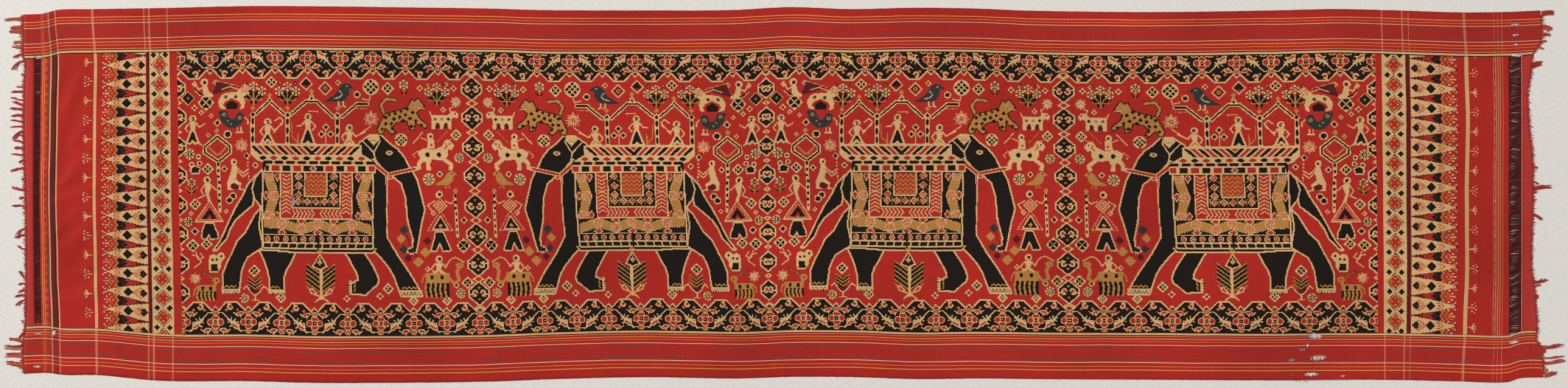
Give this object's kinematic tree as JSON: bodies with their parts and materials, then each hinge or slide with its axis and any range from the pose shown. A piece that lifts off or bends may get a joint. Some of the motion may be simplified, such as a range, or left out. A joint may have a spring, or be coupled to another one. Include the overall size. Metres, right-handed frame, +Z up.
{
  "type": "ikat cloth",
  "caption": "Long flat silk ikat cloth with striped selvedge borders, an open warp band near each end and frayed fringes, lying face up.",
  "frame": {"origin": "middle of the cloth's underside, on the surface it lies on", "axes": "+X along the warp to the cloth's right end, +Y across the weft to its top selvedge, +Z up out of its face"},
  "size_m": [4.7519, 1.146, 0.0046],
  "materials": {
    "silk_cloth": "plain-woven resist-dyed silk with a soft sheen",
    "silk_fringe": "loose dyed silk warp ends, frayed"
  },
  "bodies": {
    "root": {"cloth": "silk_cloth", "fringe_left": "silk_fringe", "fringe_right": "silk_fringe"}
  },
  "joints": []
}
